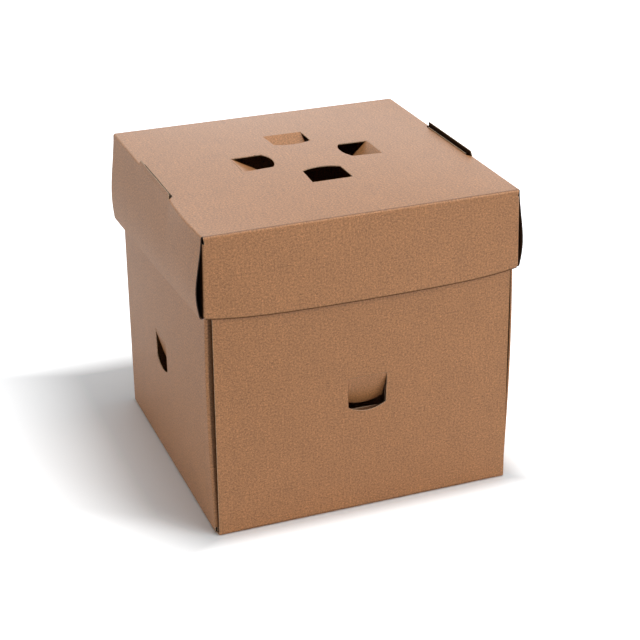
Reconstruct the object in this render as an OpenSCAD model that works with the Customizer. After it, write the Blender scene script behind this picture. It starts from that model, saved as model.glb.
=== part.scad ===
// Two-piece burger box folded from kraft board: a deep base tray and a lift-off lid.
// Each tray is one folded sheet. Two facing walls are double, rolled over at the rim and locked
// by a tab in a slot, and they hold the tuck flaps of the two single walls between their layers.
// Origin: middle of the base's underside. +Z is up and -Y is the front.

/* [Board] */
// Thickness of the board
board = 0.4; // [0.3:0.05:0.5]
// Outer radius of a fold
fold_r = 0.8; // [0.7:0.1:1.2]
// Free space between two layers that lie side by side
layer_gap = 0.1; // [0.05:0.05:0.2]
// Free space on each side between the base's top and the lid
slide_gap = 0.2; // [0.15:0.05:0.4]
// Width of the cut around a vent flap
kerf = 0.15; // [0.1:0.05:0.3]
// How far from the panel's fold the tuck flaps start
flap_relief = 3; // [2:0.5:6]

/* [Base] */
// Width over the left and right walls at the bottom fold
base_w = 127.4; // [100:0.2:160]
// Depth over the front and back walls
base_d = 128; // [100:0.5:160]
// Height of the base to the top of its side walls
base_h = 128; // [95:1:180]
// How far each side wall leans in at the top
base_lean = 0.8; // [0:0.1:1.5]
// Outward bow of the side walls' front folds
base_bow = 1.6; // [0:0.1:2]
// Outward bulge of the middle of the side walls
side_bulge = 1.6; // [0:0.1:2]
// Outward bulge of the middle of the front and back walls
face_bulge = 1.9; // [0:0.1:2]
// Distance of the front and back walls' cut edges from the side walls' bottom folds
panel_inset = 1; // [0.8:0.1:2]
// How much narrower each side of the front and back walls is at the rim
panel_taper = 0.9; // [0:0.1:2]
// Room between a front or back wall's outer layer and the tuck flaps
face_room = 1.6; // [0.1:0.1:2]
// Length of the base's tuck flaps
base_flap = 30; // [15:1:35]

/* [Lid] */
// Height of the lid's front and back walls at their ends
lid_h = 33; // [28:0.5:45]
// How much deeper the front and back walls are cut in their middle
lid_dip = 1.9; // [0:0.1:3]
// Outward bulge of the front and back walls at their rims
lid_bulge = 2.2; // [2:0.1:4]
// Upward crown of the middle of the top panel
crown = 2.3; // [0:0.1:4]
// How much lower the left wall's rim hangs at the back
left_sag = 6.7; // [0:0.1:9]
// How much lower the right wall's rim hangs at the back
right_sag = 0; // [0:0.1:9]
// Radius of the left rim's roll in its middle
left_roll = 0.7; // [0.35:0.05:1.5]
// Radius of the right rim's roll in its middle
right_roll = 0.4; // [0.35:0.05:1.5]
// Bow of the left wall's outer layer, at the front
left_bow = 1.6; // [1.2:0.1:3]
// Bow of the right wall's outer layer, at the front
right_bow = 1.5; // [1.2:0.1:3]
// Bow of the side walls' outer layers, at the back
back_bow = 1.2; // [1.2:0.1:3]
// Room between the two layers of a side wall, at the top
wall_room = 1.1; // [1.1:0.05:1.5]
// How far the tuck flaps are set in from the side walls' folds
flap_inset = 0.4; // [0.4:0.05:0.5]
// Length of the lid's tuck flaps
lid_flap = 26; // [15:1:40]

/* [Locks] */
// Length of a lid slot along the fold
slot_len = 43.2; // [30:0.2:60]
// Width of a lid slot
slot_w = 2.2; // [2:0.1:2.5]
// How much each slanted end shortens a lid slot
slot_slant = 1.8; // [0.5:0.1:3]
// Free length on each side of a lock tab in its slot
tab_gap = 1.3; // [0.5:0.1:3]
// Height of the strip that stands up from the side wall beside a slot
strip_h = 1.85; // [0.5:0.05:2]
// How much each slanted end shortens a strip at its top
strip_slant = 1; // [0.2:0.1:2]
// Inward lean of a strip
strip_lean = 8; // [0:1:12]
// How far the right lock tab stands above the top panel
right_tab = 0.3; // [-0.3:0.1:1]
// How far the left lock tab stands above the top panel
left_tab = -0.3; // [-0.3:0.1:1]

/* [Vents] */
// Width of a vent flap at its hinge
vent_w = 16.8; // [10:0.2:24]
// How much narrower each side of a flap is where its curved edge starts
vent_taper = 0.4; // [0:0.1:1.5]
// Length of a vent flap's straight sides
vent_side = 12.7; // [8:0.1:16]
// Height of a vent flap's curved edge
vent_rise = 2.4; // [1:0.1:4]
// Distance of the lid vents' hinges from the middle of the lid
lid_vent_r = 30; // [24:0.5:38]
// Height of the base vents' hinges
base_vent_z = 60.2; // [30:0.1:70]
// Margin around a vent in the inner layer behind it
vent_margin = 1; // [0.5:0.1:3]
// Angles to which the base flaps are pushed in: front, right, back, left
base_vent_angles = [21, 16, 21, 16];
// Angles to which the lid flaps are pushed in: front, right, back, left
lid_vent_angles = [50, 44, 25, 30];

/* [Hidden] */

kraft = [0.69, 0.52, 0.38];
half = board / 2;
fold_mid = fold_r - half;
layer_step = board + layer_gap;
tab_len = slot_len - 2 * slot_slant - 2 * tab_gap;
vent_len = vent_side + vent_rise;
vent_tip_w = vent_w - 2 * vent_taper;

// Overlap of parts that are joined, and reach of a cut
overlap = 0.2;
through = 20;
// Space between the end of a hidden layer and what it nearly touches
end_gap = 0.1;
// Extra room for the base at the lid's rim
rim_gap = 0.1;
// How much shorter than its wall a tuck flap of the lid is
flap_trim = 1;

// Numbers of steps in the curved forms
fold_steps = 4;
roll_steps = 6;
rise_steps = 10;
length_steps = 8;
wall_steps = 14;
level_steps = 8;
crown_steps = 12;
tip_steps = 12;

// Outer face of a base side wall at its top, and middle of the lid's inner layer there
base_top_x = base_w / 2 - base_lean;
inner_top_x = base_top_x + slide_gap + half;

lid_x = inner_top_x + half + wall_room + board;
lid_y = base_d / 2 + slide_gap + board;
lid_z = base_h + board;

// Shared forms

function mix(a, b, t) = a + (b - a) * t;
function steps(n) = [for (i = [0:n]) i / n];
function arc2(c, r, from, to, n) = [for (t = steps(n)) c + r * [cos(mix(from, to, t)), sin(mix(from, to, t))]];
function along(p, i) = p[min(i + 1, len(p) - 1)] - p[max(i - 1, 0)];
function left_of(d) = [-d[1], d[0]] / norm(d);

// From -1 to 1, in steps that are shorter towards the ends
function ease(n) = [for (t = steps(n)) sin(mix(-90, 90, t))];

// Rises from 0 to 1 and falls to 0 again as t goes from 0 to 1
function swell(t) = sin(180 * t);

// The same for the lid's walls, where the highest place lies nearer the rim
function wall_bow(t) = swell(pow(t, 1.6));

// A solid sheet between two grids of points. The first lies on the side that i x j points to.
module sheet(a, b) {
    n = len(a) - 1;
    m = len(a[0]) - 1;
    count = (n + 1) * (m + 1);
    function id(s, i, j) = s * count + i * (m + 1) + j;
    function cell(p, q, r, s) = [[p, q, r], [p, r, s]];
    points = concat([for (row = a) each row], [for (row = b) each row]);
    faces = concat(
        [for (i = [0:n - 1], j = [0:m - 1])
            each cell(id(0, i, j), id(0, i, j + 1), id(0, i + 1, j + 1), id(0, i + 1, j))],
        [for (i = [0:n - 1], j = [0:m - 1])
            each cell(id(1, i, j), id(1, i + 1, j), id(1, i + 1, j + 1), id(1, i, j + 1))],
        [for (i = [0:n - 1]) each cell(id(0, i, 0), id(0, i + 1, 0), id(1, i + 1, 0), id(1, i, 0))],
        [for (i = [0:n - 1]) each cell(id(0, i, m), id(1, i, m), id(1, i + 1, m), id(0, i + 1, m))],
        [for (j = [0:m - 1]) each cell(id(0, 0, j), id(1, 0, j), id(1, 0, j + 1), id(0, 0, j + 1))],
        [for (j = [0:m - 1]) each cell(id(0, n, j), id(0, n, j + 1), id(1, n, j + 1), id(1, n, j))]);
    polyhedron(points, faces);
}

// A board that follows a line in the XZ plane, given at each of several places along Y.
// Narrow is the share of its width that it loses with each millimetre of height.
module profile_board(lines, ys, narrow = 0) {
    function side(s) = [for (i = [0:len(lines[0]) - 1]) [for (j = [0:len(ys) - 1])
        let (p = lines[j][i] + s * half * left_of(along(lines[j], i))) [p[0], ys[j] * (1 - narrow * p[1]), p[1]]]];
    sheet(side(1), side(-1));
}

// A board that follows a line in the XY plane, given at several levels, with its own heights
module plan_board(lines, heights) {
    function side(s) = [for (i = [0:len(lines[0]) - 1]) [for (j = [0:len(lines) - 1])
        let (p = lines[j][i] - s * half * left_of(along(lines[j], i))) [p[0], p[1], heights[j][i]]]];
    sheet(side(1), side(-1));
}

// A tray is built with its panel at Z = 0 and its walls pointing to +Z

// The quarter fold between a panel and its left wall
module panel_fold(x, reach) {
    line = concat([[fold_r - x + overlap, half]], arc2([fold_r - x, fold_r], fold_mid, 270, 180, fold_steps));
    profile_board([line, line], [-reach, reach]);
}

// A right wall that is rolled over at its rim: the line of the board, from the fold to the rim
// and down inside. The outer face lies at out_x, plus the offsets listed from the fold up.
function rolled_wall(out_x, offsets, in_x, in_rim_x, rim_z) =
    let (
        rim_x = out_x + offsets[rise_steps] - half,
        r = (rim_x - in_rim_x) / 2,
        roll_z = rim_z - half - r)
    concat(
        [for (s = [0:rise_steps - 1]) let (t = s / rise_steps)
            [out_x + offsets[s] - half, mix(fold_r - (s == 0 ? overlap : 0), roll_z, t)]],
        arc2([rim_x - r, roll_z], r, 0, 180, roll_steps),
        [[in_x, board + end_gap]]);

// The outline of a vent flap, hinged along the X axis and pointing to -Y, grown by g.
// It reaches back past the hinge by the length given.
module vent_outline(g, back) {
    r = (pow(vent_tip_w / 2, 2) + vent_rise * vent_rise) / (2 * vent_rise);
    a = asin(vent_tip_w / 2 / r);
    side = vent_w / 2 + g;
    polygon(concat(
        [[side, 0], [side, back], [-side, back], [-side, 0]],
        arc2([0, r - vent_len], r + g, -90 - a, -90 + a, tip_steps)));
}

module vent_hole() {
    translate([0, 0, -through / 2]) linear_extrude(through) vent_outline(kerf, half + kerf);
}

// A vent flap, pushed in to the angle given
module vent_flap(angle) {
    rotate([angle, 0, 0]) {
        translate([0, 0, -half]) linear_extrude(board) vent_outline(0, 0.01);
        translate([-vent_w / 2, 0, 0]) rotate([0, 90, 0]) cylinder(h = vent_w, r = half, $fn = 24);
    }
}

// Base

// Outer face of a side wall, from the middle of the box. Y runs to the back.
function side_x(y, z) = let (u = y / (base_d / 2), t = z / base_h)
    base_w / 2 - base_lean * t + swell(t) * (base_bow * (1 - u) / 2 + side_bulge * (1 - u * u));

// Outer face of the front wall, from the middle of the box
function face_y(x, z) = let (u = x / (base_w / 2 - panel_inset), t = z / base_h)
    base_d / 2 + swell(t) * face_bulge * max(0, 1 - u * u);

// The middle of the board at a base vent's hinge, in a frame whose Z points out of the box
module at_base_vent(k) {
    reach = k % 2 == 0 ? face_y(0, base_vent_z) : side_x(0, base_vent_z);
    rotate([0, 0, 90 * k]) translate([0, half - reach, base_vent_z]) rotate([90, 0, 0]) children();
}

// Outer faces of the tuck flaps and of the inner layer behind them
flap_y = base_d / 2 - board - face_room;
base_inner_y = flap_y - layer_step;

// Left wall of the base with its two tuck flaps
module base_side() {
    straight = flap_y - fold_r;
    flap_top = base_h - 2 * fold_r - flap_relief;
    function level(t) = let (
        z = mix(fold_r - overlap, base_h, t),
        xf = -side_x(-straight, z),
        xb = -side_x(straight, z))
        concat(
            [[xb + fold_r + base_flap, flap_y - half]],
            arc2([xb + fold_r, straight], fold_mid, 90, 180, fold_steps),
            [for (s = [1:wall_steps - 1])
                let (y = straight * -ease(wall_steps)[s]) [half - side_x(y, z), y]],
            arc2([xf + fold_r, -straight], fold_mid, 180, 270, fold_steps),
            [[xf + fold_r + base_flap, half - flap_y]]);
    n = len(level(0));
    function on_flap(i) = i <= fold_steps || i >= n - 1 - fold_steps;
    function low(i) = on_flap(i) ? flap_relief : fold_r - overlap;
    function high(i) = on_flap(i) ? flap_top : base_h;
    plan_board([for (t = steps(level_steps)) level(t)],
        [for (t = steps(level_steps)) [for (i = [0:n - 1]) mix(low(i), high(i), t)]]);
}

// Front wall of the base, built facing +X
module base_face() {
    reach = base_w / 2 - panel_inset;
    stations = reach * ease(length_steps);
    rim = base_h - end_gap;
    in_x = base_inner_y - half;
    lines = [for (y = stations) rolled_wall(base_d / 2,
        [for (s = [0:rise_steps]) face_y(y, mix(fold_r, rim, s / rise_steps)) - base_d / 2], in_x, in_x, rim)];
    difference() {
        profile_board(lines, stations, panel_taper / reach / base_h);
        translate([base_d / 2, 0, base_vent_z]) rotate([90, 0, 90]) vent_hole();
        inner_window();
    }
    translate([in_x - half, -tab_len / 2, end_gap]) cube([board, tab_len, 4 * board]);
}

// Clears the inner layer behind a vent, so that its flap can swing in
module inner_window() {
    w = vent_w + 2 * vent_margin;
    h = vent_len + 2 * vent_margin;
    translate([base_inner_y - board - overlap, -w / 2, base_vent_z - vent_len - vent_margin])
        cube([board + 2 * overlap, w, h]);
}

module base_panel() {
    difference() {
        union() {
            translate([fold_r - base_w / 2, fold_r - base_d / 2, 0])
                cube([base_w - 2 * fold_r, base_d - 2 * fold_r, board]);
            for (side = [0, 1]) {
                mirror([side, 0, 0]) panel_fold(base_w / 2, flap_y - fold_r);
                mirror([0, side, 0]) rotate([0, 0, 90]) panel_fold(base_d / 2, base_w / 2 - panel_inset);
            }
        }
        for (side = [0, 1]) mirror([0, side, 0])
            translate([-tab_len / 2 - slide_gap, base_inner_y - board - layer_gap, -overlap])
                cube([tab_len + 2 * slide_gap, board + 2 * layer_gap, board + 2 * overlap]);
    }
}

module base() {
    color(kraft) {
        base_panel();
        for (side = [0, 1]) mirror([0, side, 0]) rotate([0, 0, -90]) base_face();
        difference() {
            for (side = [0, 1]) mirror([side, 0, 0]) base_side();
            for (k = [1, 3]) at_base_vent(k) vent_hole();
        }
    }
}

module base_vent(k) {
    color(kraft) at_base_vent(k) vent_flap(base_vent_angles[k]);
}

// Lid

// Height of the top panel over its folds
function crown_at(x, y) = let (u = x / (lid_x - fold_r), v = y / (lid_y - fold_r))
    crown * max(0, 1 - u * u) * max(0, 1 - v * v);

// Height of the top panel's face at a vent's hinge, and the panel's slope there
function vent_z(k) = lid_z + (k % 2 == 0 ? crown_at(0, lid_vent_r) : crown_at(lid_vent_r, 0));
function vent_slope(k) = let (reach = (k % 2 == 0 ? lid_y : lid_x) - fold_r)
    atan(2 * crown * lid_vent_r / (reach * reach));

// The middle of the board at a lid vent's hinge, in a frame whose Z points out of the box
module at_lid_vent(k) {
    rotate([0, 0, 90 * k]) translate([0, -lid_vent_r, vent_z(k) - half]) rotate([vent_slope(k), 0, 0])
        rotate([0, 0, 180]) children();
}

// Middle of a side wall's inner layer at the rim, which clears the base
function inner_rim_x(y) = side_x(y, lid_z - lid_h) + slide_gap + rim_gap + half;

// Rim of a front or back wall, and how far it bulges. U runs from -1 to 1 along the wall.
function face_rim(u) = lid_h + lid_dip * (1 - pow(abs(u), 5));
function lid_face_y(u, z) = lid_y + lid_bulge * (1 - u * u) * max(0, z - fold_r) / (lid_h - fold_r);

// Outer face of the front wall's tuck flaps
function flap_x(z) = mix(lid_x - flap_inset, inner_rim_x(-lid_y) + half + layer_step, z / lid_h);

module top_panel() {
    x = lid_x - fold_r + overlap;
    y = lid_y - fold_r + overlap;
    function face(z) = [for (u = ease(crown_steps)) [for (v = ease(crown_steps))
        [x * u, y * v, z - crown_at(x * u, y * v)]]];
    sheet(face(board), face(0));
}

// Front wall of the lid with its two tuck flaps
module lid_face() {
    function level(t) = let (
        z = mix(fold_r - overlap, lid_h, t),
        x = flap_x(z) - fold_r,
        y = fold_r - lid_y)
        concat(
            [[half - fold_r - x, y + lid_flap]],
            arc2([-x, y], fold_mid, 180, 270, fold_steps),
            [for (s = [1:wall_steps - 1]) let (u = ease(wall_steps)[s]) [x * u, half - lid_face_y(u, z)]],
            arc2([x, y], fold_mid, 270, 360, fold_steps),
            [[x + fold_r - half, y + lid_flap]]);
    n = len(level(0));
    last = fold_steps + 1;
    function on_flap(i) = i < last || i > n - 1 - last;
    function low(i) = on_flap(i) ? flap_relief : fold_r - overlap;
    function high(i) = i < last || i > n - 1 - last ? lid_h - flap_trim : face_rim(ease(wall_steps)[i - last]);
    plan_board([for (t = steps(level_steps)) level(t)],
        [for (t = steps(level_steps)) [for (i = [0:n - 1]) mix(low(i), high(i), t)]]);
}

// Side wall of the lid, built facing +X
module lid_side(roll, bow, sag, tab) {
    reach = lid_y - board - layer_step;
    stations = reach * ease(length_steps);
    flare = inner_rim_x(0) + 2 * roll + half - lid_x;
    lines = [for (y = stations) let (q = (y / reach + 1) / 2) rolled_wall(lid_x,
        [for (t = steps(rise_steps)) flare * t + mix(bow, back_bow, q) * wall_bow(t)],
        inner_top_x, inner_rim_x(y), lid_h + sag * q)];
    profile_board(lines, stations);
    translate([inner_top_x - half, -tab_len / 2, -tab]) cube([board, tab_len, 4 * board + tab]);
    strip();
}

// The strip beside a slot, cut free from the top panel and left standing on the side wall
module strip() {
    root = fold_r + overlap;
    long = slot_len / 2;
    short = long - strip_slant;
    translate([lid_x - board, 0, root]) rotate([0, -strip_lean, 0]) rotate([0, 0, 90]) rotate([-90, 0, 0])
        mirror([0, 0, 1]) linear_extrude(board)
            polygon([[-long, 0], [long, 0], [short, strip_h + root], [-short, strip_h + root]]);
}

// Slot beside the right wall, open to the fold
module slot() {
    long = slot_len / 2;
    short = long - slot_slant;
    fold = lid_x - fold_r;
    translate([0, 0, -through / 2]) linear_extrude(through / 2 + fold_r)
        polygon([[lid_x - slot_w, -short], [fold, -long], [lid_x + fold_r, -long],
            [lid_x + fold_r, long], [fold, long], [lid_x - slot_w, short]]);
}

module lid_tray() {
    difference() {
        union() {
            top_panel();
            for (side = [0, 1]) {
                mirror([side, 0, 0]) panel_fold(lid_x, lid_y - board - layer_step);
                mirror([0, side, 0]) rotate([0, 0, 90]) panel_fold(lid_y, lid_x - fold_r + overlap);
            }
        }
        for (side = [0, 1]) mirror([side, 0, 0]) slot();
    }
    for (side = [0, 1]) mirror([0, side, 0]) lid_face();
    lid_side(right_roll, right_bow, right_sag, right_tab);
    mirror([1, 0, 0]) lid_side(left_roll, left_bow, left_sag, left_tab);
}

module lid() {
    color(kraft) difference() {
        translate([0, 0, lid_z]) mirror([0, 0, 1]) lid_tray();
        for (k = [0:3]) at_lid_vent(k) vent_hole();
    }
}

module lid_vent(k) {
    color(kraft) at_lid_vent(k) vent_flap(lid_vent_angles[k]);
}

base();
lid();
base_vent(0);  // base_vent_front
base_vent(1);  // base_vent_right
base_vent(2);  // base_vent_back
base_vent(3);  // base_vent_left
lid_vent(0);  // lid_vent_front
lid_vent(1);  // lid_vent_right
lid_vent(2);  // lid_vent_back
lid_vent(3);  // lid_vent_left
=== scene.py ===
"""Looks of the two-piece burger box: each tray is bent from flat sheets of kraft board."""
import math

import bpy
import numpy as np
from mathutils import Matrix, Vector
from mathutils.geometry import delaunay_2d_cdt


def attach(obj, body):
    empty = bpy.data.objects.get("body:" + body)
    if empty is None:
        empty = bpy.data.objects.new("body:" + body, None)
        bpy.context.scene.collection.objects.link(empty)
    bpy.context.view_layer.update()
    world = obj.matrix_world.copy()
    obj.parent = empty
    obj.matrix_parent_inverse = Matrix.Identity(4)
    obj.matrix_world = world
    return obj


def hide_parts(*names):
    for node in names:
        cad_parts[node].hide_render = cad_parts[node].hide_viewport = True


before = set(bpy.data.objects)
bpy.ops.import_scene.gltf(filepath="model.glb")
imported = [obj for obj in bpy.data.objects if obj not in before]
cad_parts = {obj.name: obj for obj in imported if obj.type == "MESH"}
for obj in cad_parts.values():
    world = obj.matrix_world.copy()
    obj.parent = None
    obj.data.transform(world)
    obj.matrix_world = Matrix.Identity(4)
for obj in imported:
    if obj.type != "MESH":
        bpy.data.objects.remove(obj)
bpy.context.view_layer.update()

# Sizes in millimetres, as in the part's source
MM = 0.001
BOARD, FOLD_R, LAYER_GAP, SLIDE_GAP = 0.4, 0.8, 0.1, 0.2
BASE_W, BASE_D, BASE_H = 127.4, 128.0, 128.0
BASE_LEAN, BASE_BOW, SIDE_BULGE, FACE_BULGE = 0.8, 1.6, 1.6, 1.9
PANEL_INSET, PANEL_TAPER, FACE_ROOM, BASE_FLAP = 1.0, 0.9, 1.6, 30.0
LID_H, LID_DIP, LID_BULGE, CROWN = 33.0, 1.9, 2.2, 2.3
LID_SAG = {"left": 6.7, "right": 0.0}
LID_ROLL = {"left": 0.7, "right": 0.4}
LID_BOW = {"left": 1.6, "right": 1.5}
BACK_BOW, WALL_ROOM, FLAP_INSET, LID_FLAP, FLAP_RELIEF = 1.2, 1.1, 0.4, 26.0, 3.0
SLOT_LEN, SLOT_W, SLOT_SLANT, TAB_GAP = 43.2, 2.2, 1.8, 1.3
STRIP_H, STRIP_SLANT, STRIP_LEAN = 1.85, 1.0, 8.0
LID_TAB = {"left": -0.3, "right": 0.3}
VENT_W, VENT_TAPER, VENT_SIDE, VENT_RISE, KERF = 16.8, 0.4, 12.7, 2.4, 0.15
LID_VENT_R, BASE_VENT_Z, VENT_MARGIN = 30.0, 60.2, 1.0
SIDES = ("front", "right", "back", "left")
BASE_VENT_ANGLES = (21.0, 16.0, 21.0, 16.0)
LID_VENT_ANGLES = (50.0, 44.0, 25.0, 30.0)
END_GAP, RIM_GAP, FLAP_TRIM = 0.1, 0.1, 1.0

HALF = BOARD / 2
FOLD_MID = FOLD_R - HALF
ARC = FOLD_MID * math.pi / 2
STEP = BOARD + LAYER_GAP
TAB_LEN = SLOT_LEN - 2 * SLOT_SLANT - 2 * TAB_GAP
VENT_LEN = VENT_SIDE + VENT_RISE
BASE_TOP_X = BASE_W / 2 - BASE_LEAN
INNER_TOP_X = BASE_TOP_X + SLIDE_GAP + HALF
LID_X = INNER_TOP_X + HALF + WALL_ROOM + BOARD
LID_Y = BASE_D / 2 + SLIDE_GAP + BOARD
LID_Z = BASE_H + BOARD
FLAP_Y = BASE_D / 2 - BOARD - FACE_ROOM
INNER_Y = FLAP_Y - STEP

# Small features that only the looks have: the left top fold bows out in front of its slot, and a
# painted line along the lower edges of the lid's front and back walls stands for the narrow shadow
FOLD_BOW = 0.8
RIM_LINE = 0.45

# A hair's breadth that keeps faces apart, and how far a vent flap reaches past its crease
HAIR = 0.02
FLAP_END = 0.08

# Painted shade: how much darker the board's colour is made in the corner gaps of the base and of the lid and
# in the line at the lid's lower edge, where shade falls, and what is left of the colour on the inner layer
# behind a lid's side wall and on the inner face of a strip, which lie in shade; the last number makes the
# lid's vent flaps paler
BASE_CORNER_DARK, LID_CORNER_DARK, RIM_DARK = 0.93, 0.92, 0.7
INNER_LAYER_SHADE, STRIP_SHADE, LID_VENT_PALER = 0.3, 0.1, 1.12


# Materials
def noise(nodes, links, vector, scale, detail=2.0, rough=0.5, stretch=None):
    """A noise texture on the board's flat coordinates, which are in millimetres."""
    mapping = nodes.new("ShaderNodeMapping")
    mapping.inputs["Scale"].default_value = stretch or (1, 1, 1)
    links.new(vector, mapping.inputs["Vector"])
    tex = nodes.new("ShaderNodeTexNoise")
    tex.inputs["Scale"].default_value = scale
    tex.inputs["Detail"].default_value = detail
    tex.inputs["Roughness"].default_value = rough
    links.new(mapping.outputs["Vector"], tex.inputs["Vector"])
    return tex.outputs["Fac"]


def remap(nodes, links, value, low, high, to_low, to_high):
    node = nodes.new("ShaderNodeMapRange")
    node.inputs["From Min"].default_value = low
    node.inputs["From Max"].default_value = high
    node.inputs["To Min"].default_value = to_low
    node.inputs["To Max"].default_value = to_high
    links.new(value, node.inputs["Value"])
    return node.outputs["Result"]


def product(nodes, links, a, b):
    node = nodes.new("ShaderNodeMath")
    node.operation = "MULTIPLY"
    links.new(a, node.inputs[0])
    links.new(b, node.inputs[1])
    return node.outputs["Value"]


def mixed(nodes, links, factor, low, high):
    """A colour between two others."""
    node = nodes.new("ShaderNodeMix")
    node.data_type = "RGBA"
    node.inputs["A"].default_value = (*low, 1)
    node.inputs["B"].default_value = (*high, 1)
    links.new(factor, node.inputs["Factor"])
    return node.outputs["Result"]


def board_material(name, colour, streaks, roughness):
    """Uncoated kraft board: pressed fibres, a faint grain along the sheet and stray specks."""
    mat = bpy.data.materials.new(name)
    mat.use_nodes = True
    nodes, links = mat.node_tree.nodes, mat.node_tree.links
    nodes.clear()
    out = nodes.new("ShaderNodeOutputMaterial")
    bsdf = nodes.new("ShaderNodeBsdfPrincipled")
    links.new(bsdf.outputs["BSDF"], out.inputs["Surface"])
    uv = nodes.new("ShaderNodeUVMap")
    uv.uv_map = "Flat"
    scaled = nodes.new("ShaderNodeVectorMath")
    scaled.operation = "SCALE"
    scaled.inputs["Scale"].default_value = 1000.0
    links.new(uv.outputs["UV"], scaled.inputs[0])
    flat = scaled.outputs["Vector"]

    fibre = noise(nodes, links, flat, 1.25, 3.0, 0.75)
    fine = noise(nodes, links, flat, 2.6, 2.0, 0.6)
    cloud = noise(nodes, links, flat, 0.07, 4.0, 0.6)
    grain = noise(nodes, links, flat, 1.0, 2.0, 0.6, (1.3, 0.16, 1))
    broad = noise(nodes, links, flat, 1.0, 2.0, 0.5, (0.35, 0.03, 1))
    dark = noise(nodes, links, flat, 0.8, 1.0, 0.5, (1.0, 1.5, 1))
    pale = noise(nodes, links, flat, 1.2, 1.0, 0.5, (1.7, 0.8, 1))

    # Each layer of noise: the part of its range that counts, and the shade at either end of that
    layers = (
        (fibre, 0.25, 0.75, 0.5, 1.5),
        (fine, 0.25, 0.75, 0.7, 1.3),
        (cloud, 0.3, 0.7, 0.95, 1.05),
        (grain, 0.25, 0.75, 1 - streaks, 1 + streaks),
        (broad, 0.3, 0.7, 1 - streaks / 4, 1 + streaks / 4),
        (dark, 0.24, 0.31, 0.6, 1.0),
        (pale, 0.70, 0.78, 1.0, 1.25))
    # Painted shade and painted highlights, read from the mesh, multiply the board's colour
    painted_light_attribute = nodes.new("ShaderNodeAttribute")
    painted_light_attribute.attribute_name = "PaintedLight"
    shade = remap(nodes, links, *layers[0])
    for layer in layers[1:]:
        shade = product(nodes, links, shade, remap(nodes, links, *layer))
    shade = product(nodes, links, shade, painted_light_attribute.outputs["Fac"])

    # Paler fibres are also a little greyer than the darker ones
    hue = mixed(nodes, links, fibre, [c * f for c, f in zip(colour, (1.03, 0.95, 0.88))],
                [c * f for c, f in zip(colour, (0.97, 1.05, 1.12))])
    mix = nodes.new("ShaderNodeVectorMath")
    mix.operation = "SCALE"
    links.new(hue, mix.inputs[0])
    links.new(shade, mix.inputs["Scale"])
    links.new(mix.outputs["Vector"], bsdf.inputs["Base Color"])
    bsdf.inputs["Roughness"].default_value = roughness
    # Where light hardly reaches, the board has no sheen either
    sheen = remap(nodes, links, painted_light_attribute.outputs["Fac"], 0.1, 0.9, 0.02, 0.5)
    links.new(sheen, bsdf.inputs["Specular IOR Level"])
    bsdf.inputs["IOR"].default_value = 1.55

    bump = nodes.new("ShaderNodeBump")
    bump.inputs["Strength"].default_value = 0.3
    bump.inputs["Distance"].default_value = 0.00008
    links.new(fibre, bump.inputs["Height"])
    links.new(bump.outputs["Normal"], bsdf.inputs["Normal"])
    return mat


# Each with its colour, the strength of the grain along the sheet, and its roughness
OUTER = board_material("kraft_outer", (0.45, 0.202, 0.078), 0.09, 0.42)
INNER = board_material("kraft_inner", (0.37, 0.18, 0.09), 0.05, 0.6)
EDGE = board_material("kraft_cut_edge", (0.66, 0.47, 0.31), 0.03, 0.8)
# A near-black cut edge: painted shade for cut edges deep in corners and slots
SHADED_EDGE = board_material("kraft_shaded_edge", (0.07, 0.04, 0.028), 0.03, 0.8)
SURFACES = (OUTER, INNER, EDGE, SHADED_EDGE)


# Flat outlines and how they become bent boards
def between(a, b, t):
    return a + (b - a) * t


def lines(low, high, pitch, *dense):
    """Grid values from low to high, with the dense ones added."""
    count = max(1, round((high - low) / pitch))
    values = list(np.linspace(low, high, count + 1))
    values += [v for group in dense for v in group if low <= v <= high]
    values.sort()
    kept = [values[0]]
    for v in values[1:]:
        if v - kept[-1] > 0.04:
            kept.append(v)
    return np.array(kept)


def cross_lines(loop, us, vs):
    """Adds a loop's crossings with the grid lines, so that it bends where the grid does."""
    out = []
    for (a, b) in zip(loop, loop[1:] + loop[:1]):
        a, b = np.array(a, float), np.array(b, float)
        ts = [0.0]
        for axis, grid in ((0, us), (1, vs)):
            d = b[axis] - a[axis]
            if abs(d) > 1e-9:
                t = (grid - a[axis]) / d
                ts += list(t[(t > 1e-4) & (t < 1 - 1e-4)])
        ts.sort()
        last = -1
        for t in ts:
            if t - last > 1e-5:
                out.append(tuple(a + (b - a) * t))
            last = t
    return out


def inside(points, loops):
    """Even-odd test of points against all loops together."""
    hit = np.zeros(len(points), bool)
    x, y = points[:, 0], points[:, 1]
    for loop in loops:
        pts = np.array(loop)
        for (x1, y1), (x2, y2) in zip(pts, np.roll(pts, -1, 0)):
            crosses = (y1 > y) != (y2 > y)
            if crosses.any():
                at = x1 + (y - y1) * (x2 - x1) / ((y2 - y1) or 1e-12)
                hit ^= crosses & (x < at)
    return hit


def clear_of(points, loops, gap):
    """Points that lie further than gap from every edge of the loops."""
    keep = np.ones(len(points), bool)
    for loop in loops:
        pts = np.array(loop)
        for a, b in zip(pts, np.roll(pts, -1, 0)):
            d = b - a
            t = np.clip(((points - a) @ d) / max(d @ d, 1e-12), 0, 1)
            keep &= np.linalg.norm(points - a - t[:, None] * d, axis=1) > gap
    return keep


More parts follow.
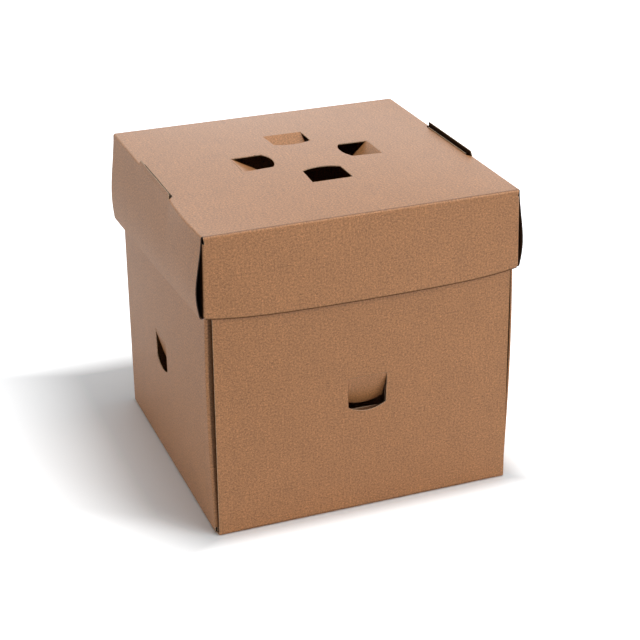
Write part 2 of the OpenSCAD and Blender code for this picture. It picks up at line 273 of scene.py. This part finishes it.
def board(name, body, loops, us, vs, surface, facing, painted_light=None, inner_painted_shade=1.0, shaded=None, gap=0.12):
    """A board cut to loops (its outline, then its holes), in flat millimetres, and bent by
    surface(u, v), which gives the middle of the board. facing is a flat point and the direction
    in which the board's outer face looks there. The outer face's colour is multiplied by a function of (u, v)
    and the inner face's by a number: painted shade and painted highlights. shaded(u, v) is true where a cut
    edge lies deep in a corner, which gets the near-black painted shade."""
    loops = [cross_lines(list(map(tuple, loop)), us, vs) for loop in loops]
    grid = np.array([(u, v) for u in us for v in vs])
    grid = grid[inside(grid, loops)]
    grid = grid[clear_of(grid, loops, gap)]
    flat, edges = [], []
    for loop in loops:
        first = len(flat)
        flat += loop
        edges += [(first + i, first + (i + 1) % len(loop)) for i in range(len(loop))]
    flat += [tuple(p) for p in grid]
    result = delaunay_2d_cdt([Vector(p) for p in flat], edges, [], 0, 1e-7)
    uv = np.array([tuple(p) for p in result[0]])
    tris = np.array([f for f in result[2] if len(f) == 3])
    tris = tris[inside(uv[tris].mean(axis=1), loops)]
    a, b, c = uv[tris[:, 0]], uv[tris[:, 1]], uv[tris[:, 2]]
    area = (b[:, 0] - a[:, 0]) * (c[:, 1] - a[:, 1]) - (b[:, 1] - a[:, 1]) * (c[:, 0] - a[:, 0])
    tris = tris[np.abs(area) > 1e-9]
    area = area[np.abs(area) > 1e-9]
    tris[area < 0] = tris[area < 0][:, ::-1]

    def normal(u, v, e=2e-3):
        n = np.cross(surface(u + e, v) - surface(u - e, v), surface(u, v + e) - surface(u, v - e))
        return n / np.maximum(np.linalg.norm(n, axis=1), 1e-12)[:, None]

    u, v = uv[:, 0], uv[:, 1]
    mid, nor = surface(u, v), normal(u, v)
    probe = normal(np.array([facing[0][0]], float), np.array([facing[0][1]], float))[0]
    sign = 1 if probe @ np.array(facing[1], float) > 0 else -1
    nor = nor * sign
    count = len(uv)
    co = np.concatenate([mid + nor * HALF, mid - nor * HALF]) * MM

    seen = {}
    for t in tris:
        for i in range(3):
            seen[(t[i], t[(i + 1) % 3])] = True
    border = [e for e in seen if (e[1], e[0]) not in seen]
    outer = tris if sign > 0 else tris[:, ::-1]
    faces = [tuple(f) for f in outer] + [tuple(f[::-1] + count) for f in outer]
    for p, q in border:
        quad = (p + count, q + count, q, p)
        faces.append(quad if sign > 0 else quad[::-1])
    mesh = bpy.data.meshes.new(name)
    mesh.from_pydata([tuple(p) for p in co], [], [tuple(int(i) for i in f) for f in faces])
    for mat in SURFACES:
        mesh.materials.append(mat)
    n = len(outer)
    ends = np.array(border)
    middle = (uv[ends[:, 0]] + uv[ends[:, 1]]) / 2
    deep = np.zeros(len(border), int) if shaded is None else shaded(middle[:, 0], middle[:, 1]).astype(int)
    index = np.concatenate([np.zeros(n, int), np.ones(n, int), 2 + deep])
    mesh.polygons.foreach_set("material_index", index)
    mesh.polygons.foreach_set("use_smooth", np.ones(len(faces), bool))

    corner = np.zeros(len(mesh.loops), int)
    mesh.loops.foreach_get("vertex_index", corner)
    flat_uv = np.concatenate([uv, uv])[corner] * MM
    mesh.uv_layers.new(name="Flat").data.foreach_set("uv", flat_uv.astype(np.float32).ravel())
    # Painted shade and painted highlights on the outer face, and painted shade on the inner face
    painted_outer = np.ones(count) if painted_light is None else painted_light(u, v)
    mesh.attributes.new("PaintedLight", "FLOAT", "POINT").data.foreach_set(
        "value", np.concatenate([painted_outer, np.full(count, inner_painted_shade)]).astype(np.float32))
    mesh.update()
    normals = np.concatenate([nor, -nor])[corner]
    starts = np.zeros(len(faces), int)
    mesh.polygons.foreach_get("loop_start", starts)
    side = np.zeros(len(faces) * 3, np.float32)
    mesh.polygons.foreach_get("normal", side)
    side = side.reshape(-1, 3)
    for f in range(2 * n, len(faces)):
        normals[starts[f]:starts[f] + 4] = side[f]
    mesh.normals_split_custom_set([tuple(x) for x in normals])
    piece = bpy.data.objects.new(name, mesh)
    bpy.context.scene.collection.objects.link(piece)
    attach(piece, body)
    return piece


def flipped(surface, axis):
    """The same board on the other side of the box."""
    def other(u, v):
        p = surface(u, v).copy()
        p[:, axis] *= -1
        return p
    return other


def vent_loop(grow, back, place=lambda x, y: (x, y)):
    """The outline of a vent flap, hinged on the line y = 0 and pointing to -y."""
    tip = VENT_W / 2 - VENT_TAPER
    r = (tip * tip + VENT_RISE * VENT_RISE) / (2 * VENT_RISE)
    a = math.asin(tip / r)
    w = VENT_W / 2 + grow
    pts = [(w, 0), (w, back), (-w, back), (-w, 0)]
    for i in range(25):
        b = between(-math.pi / 2 - a, -math.pi / 2 + a, i / 24)
        pts.append(((r + grow) * math.cos(b), r - VENT_LEN + (r + grow) * math.sin(b)))
    return [place(x, y) for x, y in pts]


FOLD_LINES = ARC * np.linspace(-0.5, 1.6, 15)


def step(x, low, high):
    """Rises smoothly from 0 at low to 1 at high."""
    t = np.clip((x - low) / (high - low), 0, 1)
    return t * t * (3 - 2 * t)


def band(x, middle, width):
    return np.exp(-((x - middle) / width) ** 2)


# The two painted lines of a scored fold, painted shade in its groove and a painted highlight where the
# rounded fold catches light: how much they darken or lighten, their place and their width
GROOVE_SHADE, RIDGE_HIGHLIGHT = (0.42, 0.1, 0.3), (0.2, 0.72, 0.22)


def fold_shade_and_highlight(v):
    """A scored fold: a dark groove of painted shade where the panel ends, then a paler line, a painted
    highlight on the rounded fold.
    """
    return 1 - GROOVE_SHADE[0] * band(v, *GROOVE_SHADE[1:]) + RIDGE_HIGHLIGHT[0] * band(v, *RIDGE_HIGHLIGHT[1:])


# Base
def swell(t):
    return np.sin(math.pi * np.clip(t, 0, 1))


def side_x(y, z):
    u, t = y / (BASE_D / 2), z / BASE_H
    return BASE_W / 2 - BASE_LEAN * t + swell(t) * (BASE_BOW * (1 - u) / 2 + SIDE_BULGE * (1 - u * u))


def face_y(x, z):
    u = x / (BASE_W / 2 - PANEL_INSET)
    return BASE_D / 2 + swell(z / BASE_H) * FACE_BULGE * np.maximum(0, 1 - u * u)


def fold_arc(v, reach):
    """Distance from the middle and height over the panel's face, along a fold that starts at reach."""
    a = np.clip(v, -0.2, ARC) / FOLD_MID
    return reach + FOLD_MID * np.sin(a), FOLD_R - FOLD_MID * np.cos(a)


STRAIGHT = FLAP_Y - FOLD_R
# Where the tuck flaps sink into the dark of the corner gaps, counted along the board from the fold
DEEP = {"left": (ARC + 0.2, ARC + 0.9), "right": (ARC * 0.9, ARC + 0.5)}


def base_side_surface(u, v):
    """The left wall of the base: u runs to the back and on into the tuck flaps, v runs up."""
    reach, low = fold_arc(v, BASE_W / 2 - FOLD_R)
    z = np.where(v < ARC, low, FOLD_R + v - ARC)
    y = np.clip(u, -STRAIGHT, STRAIGHT)
    wall = side_x(y, z) - HALF
    wall = np.where(v < ARC, reach, wall)
    over = np.maximum(np.abs(u) - STRAIGHT, 0)
    turn = np.minimum(over, ARC) / FOLD_MID
    x = -(wall - FOLD_MID) - FOLD_MID * np.cos(turn) + np.maximum(over - ARC, 0)
    y = y + np.sign(u) * FOLD_MID * np.sin(turn)
    return np.stack([x, y, z], 1)


def z_to_v(z):
    return z - FOLD_R + ARC


def make_base():
    w = BASE_W / 2 - FOLD_R
    d = BASE_D / 2 - FOLD_R
    slot_y = INNER_Y - HALF
    slot_x, slot_half = TAB_LEN / 2 + SLIDE_GAP, HALF + LAYER_GAP
    slots = [[(-slot_x, y - slot_half), (slot_x, y - slot_half),
              (slot_x, y + slot_half), (-slot_x, y + slot_half)] for y in (-slot_y, slot_y)]
    board("base_bottom", "base", [[(-w, -d), (w, -d), (w, d), (-w, d)]] + slots,
                        lines(-w, w, 8), lines(-d, d, 8),
                        lambda u, v: np.stack([u, v, np.full_like(u, HALF)], 1), ((0, 0), (0, 0, -1)))

    low, high = z_to_v(FLAP_RELIEF), z_to_v(BASE_H - 2 * FOLD_R - FLAP_RELIEF)
    top = z_to_v(BASE_H)
    end = STRAIGHT + ARC + BASE_FLAP
    half_outline = [(STRAIGHT, 0), (STRAIGHT, low), (end - 2, low), (end, low + 4), (end, high - 4),
                    (end - 2, high), (STRAIGHT + 0.2, high), (STRAIGHT, top)]
    outline = half_outline + [(-u, v) for u, v in reversed(half_outline)]
    corner = STRAIGHT + FOLD_LINES
    us = lines(-end, end, 6, corner, -corner)
    vs = lines(0, top, 6, FOLD_LINES)
    hole = vent_loop(KERF, HALF + HAIR, lambda x, y: (x, z_to_v(BASE_VENT_Z) + y))
    for side, surface, out in (("left", base_side_surface, -1), ("right", flipped(base_side_surface, 0), 1)):
        # Painted shade where the tuck flaps sink into the dark corner gaps
        def corner_painted_shade(u, v):
            return 1 - BASE_CORNER_DARK * step(np.abs(u) - STRAIGHT, *DEEP[side])
        board("base_wall_" + side, "base", [outline, hole], us, vs, surface,
                            ((0, 30), (out, 0, 0)), painted_light=corner_painted_shade)

    rim = BASE_H - END_GAP
    inner_y = INNER_Y - HALF
    roll = (BASE_D / 2 - HALF - inner_y) / 2
    roll_z = rim - HALF - roll
    v_roll = z_to_v(roll_z)
    v_inner = v_roll + math.pi * roll
    v_end = v_inner + roll_z - BOARD - END_GAP

    def face_surface(u, v):
        reach, low_z = fold_arc(v, BASE_D / 2 - FOLD_R)
        z = np.where(v < ARC, low_z, FOLD_R + v - ARC)
        y = np.where(v < ARC, reach, face_y(u, z) - HALF)
        turn = np.clip(v - v_roll, 0, math.pi * roll) / roll
        rolled = v > v_roll
        y = np.where(rolled, inner_y + roll + roll * np.cos(turn), y)
        z = np.where(rolled, roll_z + roll * np.sin(turn), z)
        z = np.where(v > v_inner, roll_z - (v - v_inner), z)
        return np.stack([u * (1 - PANEL_TAPER * z / BASE_H / (BASE_W / 2 - PANEL_INSET)), -y, z], 1)

    w = BASE_W / 2 - PANEL_INSET
    tab = TAB_LEN / 2
    outline = [(-w, 0), (w, 0), (w, v_end), (tab, v_end), (tab, v_end + BOARD + END_GAP - HAIR),
               (-tab, v_end + BOARD + END_GAP - HAIR), (-tab, v_end), (-w, v_end)]
    win = VENT_W / 2 + VENT_MARGIN
    v_win = v_inner + roll_z - BASE_VENT_Z
    window = [(-win, v_win - VENT_MARGIN), (win, v_win - VENT_MARGIN), (win, v_win + VENT_LEN + VENT_MARGIN),
              (-win, v_win + VENT_LEN + VENT_MARGIN)]
    us = lines(-w, w, 5)
    vs = lines(0, v_end + 0.6, 6, FOLD_LINES, v_roll + math.pi * roll * np.linspace(-0.3, 1.3, 15))
    for side, surface, out in (("front", face_surface, -1), ("back", flipped(face_surface, 1), 1)):
        board("base_wall_" + side, "base", [outline, hole, window], us, vs, surface,
                            ((0, 30), (0, out, 0)))
    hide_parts("base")


# Lid
X0, Y0 = LID_X - FOLD_R, LID_Y - FOLD_R


def crown_at(x, y):
    return CROWN * np.maximum(0, 1 - (x / X0) ** 2) * np.maximum(0, 1 - (y / Y0) ** 2)


def fold_bow(y):
    """How far the left top fold bows out in front of its slot."""
    return FOLD_BOW * swell((y + Y0) / (Y0 - SLOT_LEN / 2))


def top_surface(u, v):
    side = np.maximum(-u / X0, 0)
    return np.stack([u - fold_bow(v) * side ** 6, v, LID_Z - HALF + crown_at(u, v)], 1)


def inner_rim_x(y):
    return side_x(y, LID_Z - LID_H) + SLIDE_GAP + RIM_GAP + HALF


def flap_x(z):
    return between(LID_X - FLAP_INSET, inner_rim_x(-LID_Y) + HALF + STEP, z / LID_H)


W0 = LID_X - FLAP_INSET - FOLD_R


def lid_face_surface(u, v):
    """The lid's front wall: u runs to the right and on into the tuck flaps, v runs down."""
    reach, down = fold_arc(v, Y0)
    over = np.maximum(np.abs(u) - W0, 0)
    s = np.clip(u / W0, -1, 1)
    dip = 1 + LID_DIP * (1 - np.abs(s) ** 5) / (LID_H - FOLD_R)
    z = np.where(v < ARC, down, FOLD_R + (v - ARC) * dip)
    w = flap_x(z) - FOLD_R
    wall = LID_Y + LID_BULGE * (1 - s * s) * np.maximum(0, z - FOLD_R) / (LID_H - FOLD_R) - HALF
    y = np.where(v < ARC, reach, wall)
    turn = np.minimum(over, ARC) / FOLD_MID
    corner = v > z_to_v(FLAP_RELIEF) - 1.0
    x = s * w + np.sign(u) * np.where(corner, FOLD_MID * np.sin(turn), over)
    y = y - np.where(corner, FOLD_MID * (1 - np.cos(turn)) + np.maximum(over - ARC, 0), 0)
    return np.stack([x, -y, LID_Z - z], 1)


def lid_side_surface(side):
    """A side wall of the lid, built on the right: u runs to the back, v runs down, round the rim and up."""
    sag, front_bow = LID_SAG[side], LID_BOW[side]
    rim_x = inner_rim_x(0.0) + 2 * LID_ROLL[side]
    reach = LID_Y - BOARD - STEP

    def surface(u, v):
        q = (u / reach + 1) / 2
        depth = LID_H + sag * q
        bow = between(front_bow, BACK_BOW, q)
        out = fold_bow(u) if side == "left" else 0 * u
        flare = rim_x - (LID_X - HALF)
        lean = np.arctan(-(flare - bow * math.pi * 1.6) / depth)
        r = (rim_x - inner_rim_x(u)) / (1 + np.cos(lean))
        cz = depth - HALF - r
        cx = rim_x - r * np.cos(lean)
        fold, down = fold_arc(v, X0)
        t = np.clip((v - ARC) / V_WALL, 0, 1)
        x = LID_X - HALF + flare * t + bow * np.sin(math.pi * t ** 1.6) + out * (1 - t) ** 2
        z = between(FOLD_R, cz + r * np.sin(lean), t)
        x = np.where(v < ARC, fold + out, x)
        z = np.where(v < ARC, down, z)
        s = np.clip((v - ARC - V_WALL) / V_ROLL, 0, 1)
        turn = between(lean, math.pi, s)
        rolled = v > ARC + V_WALL
        x = np.where(rolled, cx + r * np.cos(turn), x)
        z = np.where(rolled, cz + r * np.sin(turn), z)
        s = (v - ARC - V_WALL - V_ROLL) / V_INNER
        up = v > ARC + V_WALL + V_ROLL
        x = np.where(up, between(cx - r, INNER_TOP_X, np.clip(s, 0, 1)), x)
        z = np.where(up, between(cz, BOARD + END_GAP, np.clip(s, 0, 1)) - np.maximum(s - 1, 0) * V_INNER, z)
        return np.stack([x, u, LID_Z - z], 1)
    return surface


# Lengths along a side wall of the lid: down to the rim, round it and up inside
V_WALL, V_ROLL, V_INNER = 33.0, 2.4, 31.0

# How dark a lock tab looks: the left one stays down in the dark of its slot, and the right one
# comes up into the light
TAB_SHADE = {"left": 0.9, "right": 0.0}


def strip_surface(u, v):
    """The strip cut free from a slot, on the right: v runs up from the side wall."""
    a = math.radians(STRIP_LEAN)
    return np.stack([LID_X - HALF - np.sin(a) * v * np.clip(v / 1.2, 0, 1), u, LID_Z - FOLD_R + v], 1)


def turned(k, x, y):
    """A flat point turned by k quarter turns."""
    for _ in range(k):
        x, y = -y, x
    return x, y


def make_lid():
    long, short = SLOT_LEN / 2, SLOT_LEN / 2 - SLOT_SLANT
    inner = LID_X - SLOT_W
    half = [(X0, -Y0), (X0, -long), (inner, -short), (inner, short), (X0, long), (X0, Y0)]
    outline = half + [(-x, y) for x, y in reversed(half)]
    holes = [vent_loop(KERF, HALF + HAIR, lambda x, y, k=k: turned(k, -x, -LID_VENT_R - y)) for k in range(4)]
    near = np.array([0, 0.25, 0.5, 0.9, 1.4, 2.2, 3.2])
    us = lines(-X0, X0, 4.3, X0 - near, near - X0)
    vs = lines(-Y0, Y0, 4.3, Y0 - near, near - Y0)

    # The top's scored folds get painted shade and a painted highlight, and the cut edges of its slots the
    # near-black painted shade
    top = board("lid_top", "lid", [outline] + holes, us, vs, top_surface, ((0, 0), (0, 0, 1)),
                painted_light=lambda u, v: fold_shade_and_highlight(np.abs(v) - Y0),
                shaded=lambda u, v: (np.abs(u) > inner - 0.1) & (np.abs(v) < long))

    v_flap, v_trim = z_to_v(FLAP_RELIEF), z_to_v(LID_H - FLAP_TRIM)
    end = W0 + ARC + LID_FLAP
    half = [(X0, 0), (X0, ARC + 0.1), (W0, ARC + 1.4), (W0, v_flap), (end - 1.5, v_flap), (end, v_flap + 3),
            (end, v_trim - 3), (end - 1.5, v_trim), (W0, v_trim)]
    v_rim = z_to_v(LID_H)
    outline = half + [(W0, v_rim), (-W0, v_rim)] + [(-u, v) for u, v in reversed(half)]
    corner = W0 + FOLD_LINES
    us = lines(-end, end, 4, corner, -corner)
    vs = lines(0, v_rim, 4, FOLD_LINES, v_rim - RIM_LINE * np.array([0.6, 1, 1.4, 3]))

    # The lid's front and back walls: the scored fold's painted shade and painted highlight, painted shade
    # where the tuck flaps turn into the dark corner gaps, and the painted shadow line along the lower edge
    def face_painted_light(u, v):
        corner_shade = 1 - LID_CORNER_DARK * step(np.abs(u) - W0, ARC * 0.25, ARC * 1.2)
        rim_shade = 1 - RIM_DARK * step(v - v_rim, -1.4 * RIM_LINE, -0.6 * RIM_LINE)
        return fold_shade_and_highlight(v) * corner_shade * rim_shade

    for side, surface, out in (("front", lid_face_surface, -1), ("back", flipped(lid_face_surface, 1), 1)):
        board("lid_wall_" + side, "lid", [outline], us, vs, surface, ((0, 15), (0, out, 0)),
              painted_light=face_painted_light, gap=0.06)

    reach = LID_Y - BOARD - STEP
    v_end = ARC + V_WALL + V_ROLL + V_INNER
    tab = TAB_LEN / 2
    us = lines(-reach, reach, 4, [-long, long, -tab, tab])
    vs = lines(0, v_end + 2, 2.4, FOLD_LINES, ARC + V_WALL + V_ROLL * np.linspace(-0.4, 1.3, 18))
    for side, mirror in (("right", 1), ("left", -1)):
        tip = v_end + BOARD + END_GAP + LID_TAB[side]
        outline = [(-reach, 0), (-long, 0), (-long, ARC), (long, ARC), (long, 0), (reach, 0), (reach, v_end),
                   (tab, v_end), (tab, tip), (-tab, tip), (-tab, v_end), (-reach, v_end)]
        surface = lid_side_surface(side)
        shown = surface if mirror > 0 else flipped(surface, 0)
        # A side wall: a painted highlight along its top fold, painted shade on its lock tab, painted shade on
        # the inner layer behind it, and near-black painted shade on its cut ends
        board("lid_wall_" + side, "lid", [outline], us, vs, shown, ((0, 15), (mirror, 0, 0)),
              painted_light=lambda u, v, k=TAB_SHADE[side]: ((1 + 0.06 * band(v, 0.5, 0.4))
                                                    * (1 - k * step(v, v_end - 4, v_end - 1))),
              inner_painted_shade=INNER_LAYER_SHADE, shaded=lambda u, v: np.abs(u) > reach - 0.05)
        height = FOLD_R + STRIP_H
        outline = [(-long, 0), (long, 0), (long - STRIP_SLANT, height), (STRIP_SLANT - long, height)]
        shown = strip_surface if mirror > 0 else flipped(strip_surface, 0)
        # The strip's inner face is painted dark, as shade
        board("lid_strip_" + side, "lid", [outline], lines(-long, long, 6), lines(0, height, 0.4), shown,
              ((0, 1), (mirror, 0, 0)), inner_painted_shade=STRIP_SHADE)
    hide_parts("lid")


# Vent flaps
def vent_frame(kind, k):
    """The frame at a vent's hinge: its Z points out of the box, its -Y along the closed flap."""
    turn = Matrix.Rotation(math.radians(90 * k), 4, "Z")
    if kind == "base":
        reach = float(face_y(0.0, BASE_VENT_Z) if k % 2 == 0 else side_x(0.0, BASE_VENT_Z)) - HALF
        return turn @ Matrix.Translation((0, -reach, BASE_VENT_Z)) @ Matrix.Rotation(math.pi / 2, 4, "X")
    x, y = (0.0, LID_VENT_R) if k % 2 == 0 else (LID_VENT_R, 0.0)
    z = LID_Z + float(crown_at(x, y)) - HALF
    reach = Y0 if k % 2 == 0 else X0
    slope = math.atan(2 * CROWN * LID_VENT_R / (reach * reach))
    return (turn @ Matrix.Translation((0, -LID_VENT_R, z)) @ Matrix.Rotation(slope, 4, "X")
            @ Matrix.Rotation(math.pi, 4, "Z"))


def make_vents():
    for kind, angles in (("base", BASE_VENT_ANGLES), ("lid", LID_VENT_ANGLES)):
        for k, side in enumerate(SIDES):
            frame_k = np.array(vent_frame(kind, k))
            a = math.radians(angles[k])

            def surface(u, v):
                s = np.maximum(v, 0)
                y = -s * math.cos(a) - np.minimum(v, 0)
                p = np.stack([u, y, -s * math.sin(a), np.ones_like(u)], 1)
                return (p @ frame_k.T)[:, :3]
            name = f"{kind}_vent_{side}"
            loop = vent_loop(0, FLAP_END, lambda x, y: (x, -y))
            out = Matrix(frame_k.tolist()).to_3x3() @ Vector((0, -math.sin(a), math.cos(a)))
            vs = lines(-0.3, 16, 3, [-0.1, -0.04, 0, 0.06, 0.2, 0.5])
            piece = board(name + "_flap", name, [loop], lines(-9, 9, 3), vs, surface, ((0, 5), tuple(out)),
                          painted_light=lambda u, v: np.full_like(u, LID_VENT_PALER if kind == "lid" else 1.0),
                          gap=0.03)
            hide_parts(name)


make_base()
make_lid()
make_vents()


# The floor's half width and how far it lies below the box, in metres, its colour in the light and
# as it is seen, how much of its white shows in the board's sheen, and the strength of its white
FLOOR_HALF, FLOOR_DROP = 6.0, 0.0002
FLOOR_LIT, FLOOR_SEEN = (0.92, 0.92, 0.92), (0.95, 0.98, 1.0)
SHEEN_SHARE, FLOOR_WHITE = 0.15, 0.9

# The ways out of the shadow on the floor, and the distances from the middle of the box, in
# metres, over which the floor turns white along them
FADES = (
    ((-1, 0, 0), 0.081, 0.156),
    ((0, -1, 0), 0.066, 0.08),
    ((1, 0, 0), 0.066, 0.085),
    ((0, 1, 0), 0.095, 0.12),
    ((-0.83, -0.55, 0), 0.09, 0.125))


def make_floor():
    """A floor that keeps the box's shadow and turns white round it."""
    mesh = bpy.data.meshes.new("floor")
    s = FLOOR_HALF
    mesh.from_pydata([(-s, -s, 0), (s, -s, 0), (s, s, 0), (-s, s, 0)], [], [(0, 1, 2, 3)])
    floor = bpy.data.objects.new("floor", mesh)
    bpy.context.scene.collection.objects.link(floor)
    floor.location.z = -FLOOR_DROP
    mat = bpy.data.materials.new("floor_white")
    mat.use_nodes = True
    nodes, links = mat.node_tree.nodes, mat.node_tree.links
    nodes.clear()
    out = nodes.new("ShaderNodeOutputMaterial")
    add = nodes.new("ShaderNodeAddShader")
    diffuse = nodes.new("ShaderNodeBsdfDiffuse")
    glow = nodes.new("ShaderNodeEmission")
    glow.inputs["Color"].default_value = (1, 1, 1, 1)
    path = nodes.new("ShaderNodeLightPath")
    seen = nodes.new("ShaderNodeMath")
    seen.operation = "MULTIPLY_ADD"
    seen.inputs[1].default_value = SHEEN_SHARE
    links.new(path.outputs["Is Glossy Ray"], seen.inputs[0])
    links.new(path.outputs["Is Camera Ray"], seen.inputs[2])
    links.new(mixed(nodes, links, seen.outputs["Value"], FLOOR_LIT, FLOOR_SEEN), diffuse.inputs["Color"])
    place = nodes.new("ShaderNodeNewGeometry")
    fade = None
    for direction, start, end in FADES:
        along = nodes.new("ShaderNodeVectorMath")
        along.operation = "DOT_PRODUCT"
        along.inputs[1].default_value = direction
        links.new(place.outputs["Position"], along.inputs[0])
        ramp = remap(nodes, links, along.outputs["Value"], start, end, 0.0, FLOOR_WHITE)
        if fade is None:
            fade = ramp
            continue
        larger = nodes.new("ShaderNodeMath")
        larger.operation = "MAXIMUM"
        links.new(fade, larger.inputs[0])
        links.new(ramp, larger.inputs[1])
        fade = larger.outputs["Value"]
    links.new(product(nodes, links, seen.outputs["Value"], fade), glow.inputs["Strength"])
    links.new(diffuse.outputs["BSDF"], add.inputs[0])
    links.new(glow.outputs["Emission"], add.inputs[1])
    links.new(add.outputs["Shader"], out.inputs["Surface"])
    mesh.materials.append(mat)


def make_world(strength):
    """A pale studio: white as it is seen and mirrored, and of the given strength as a light."""
    world = bpy.data.worlds.new("studio")
    bpy.context.scene.world = world
    world.use_nodes = True
    nodes, links = world.node_tree.nodes, world.node_tree.links
    nodes.clear()
    out = nodes.new("ShaderNodeOutputWorld")
    back = nodes.new("ShaderNodeBackground")
    back.inputs["Color"].default_value = (1, 1, 1, 1)
    path = nodes.new("ShaderNodeLightPath")
    seen = nodes.new("ShaderNodeMath")
    seen.operation = "MAXIMUM"
    links.new(path.outputs["Is Camera Ray"], seen.inputs[0])
    links.new(path.outputs["Is Glossy Ray"], seen.inputs[1])
    level = nodes.new("ShaderNodeMapRange")
    level.inputs["To Min"].default_value = strength
    level.inputs["To Max"].default_value = 1.0
    links.new(seen.outputs["Value"], level.inputs["Value"])
    links.new(level.outputs["Result"], back.inputs["Strength"])
    links.new(back.outputs["Background"], out.inputs["Surface"])


def area_light(name, azimuth, elevation, distance, size, power):
    """An area light aimed at the box. Azimuth 0 is in front of it, 90 on its right."""
    light = bpy.data.lights.new(name, "AREA")
    light.shape = "SQUARE"
    light.size = size
    light.energy = power
    lamp = bpy.data.objects.new(name, light)
    bpy.context.scene.collection.objects.link(lamp)
    a, e = math.radians(azimuth), math.radians(elevation)
    away = Vector((math.sin(a) * math.cos(e), -math.cos(a) * math.cos(e), math.sin(e)))
    lamp.location = Vector((0, 0, 0.06)) + away * distance
    lamp.rotation_euler = away.to_track_quat("Z", "Y").to_euler()


# Each light's azimuth and elevation in degrees, its distance and size in metres, and its watts
LIGHTS = (
    ("key", 40, 45, 1.6, 0.6, 5.6),
    ("overhead", 60, 84, 1.6, 0.9, 9.5),
    ("front_fill", 38, 16, 1.6, 1.1, 5.3),
    ("left_fill", -90, 5, 1.3, 0.6, 2.3),
    ("back_fill", 165, 20, 1.6, 1.2, 3.7))

make_floor()
make_world(0.2)
for light in LIGHTS:
    area_light(*light)


# Camera, fitted to the photograph: angles in degrees, lengths in millimetres, focal length in pixels
def make_camera(azimuth, elevation, roll, distance, target, focal_px, frame_px=640, sensor=36.0):
    a, e, r = (math.radians(x) for x in (azimuth, elevation, roll))
    back = Vector((math.sin(a) * math.cos(e), -math.cos(a) * math.cos(e), math.sin(e)))
    right = Vector((0, 0, 1)).cross(back).normalized()
    up = back.cross(right)
    x = right * math.cos(r) + up * math.sin(r)
    y = up * math.cos(r) - right * math.sin(r)
    cam = bpy.data.cameras.new("camera")
    cam.sensor_width = sensor
    cam.lens = focal_px * sensor / frame_px
    cam.clip_start = 0.01
    cam.clip_end = 50
    camera = bpy.data.objects.new("camera", cam)
    bpy.context.scene.collection.objects.link(camera)
    place = Matrix.Identity(4)
    for i, axis in enumerate((x, y, back)):
        for j in range(3):
            place[j][i] = axis[j]
    place.translation = Vector(target) * MM + back * distance * MM
    camera.matrix_world = place
    bpy.context.scene.camera = camera


make_camera(azimuth=-20.591, elevation=25.018, roll=-0.710, distance=703.6,
            target=(5.07, 0, 55.1), focal_px=1636.76)
bpy.context.scene.view_settings.view_transform = "Standard"
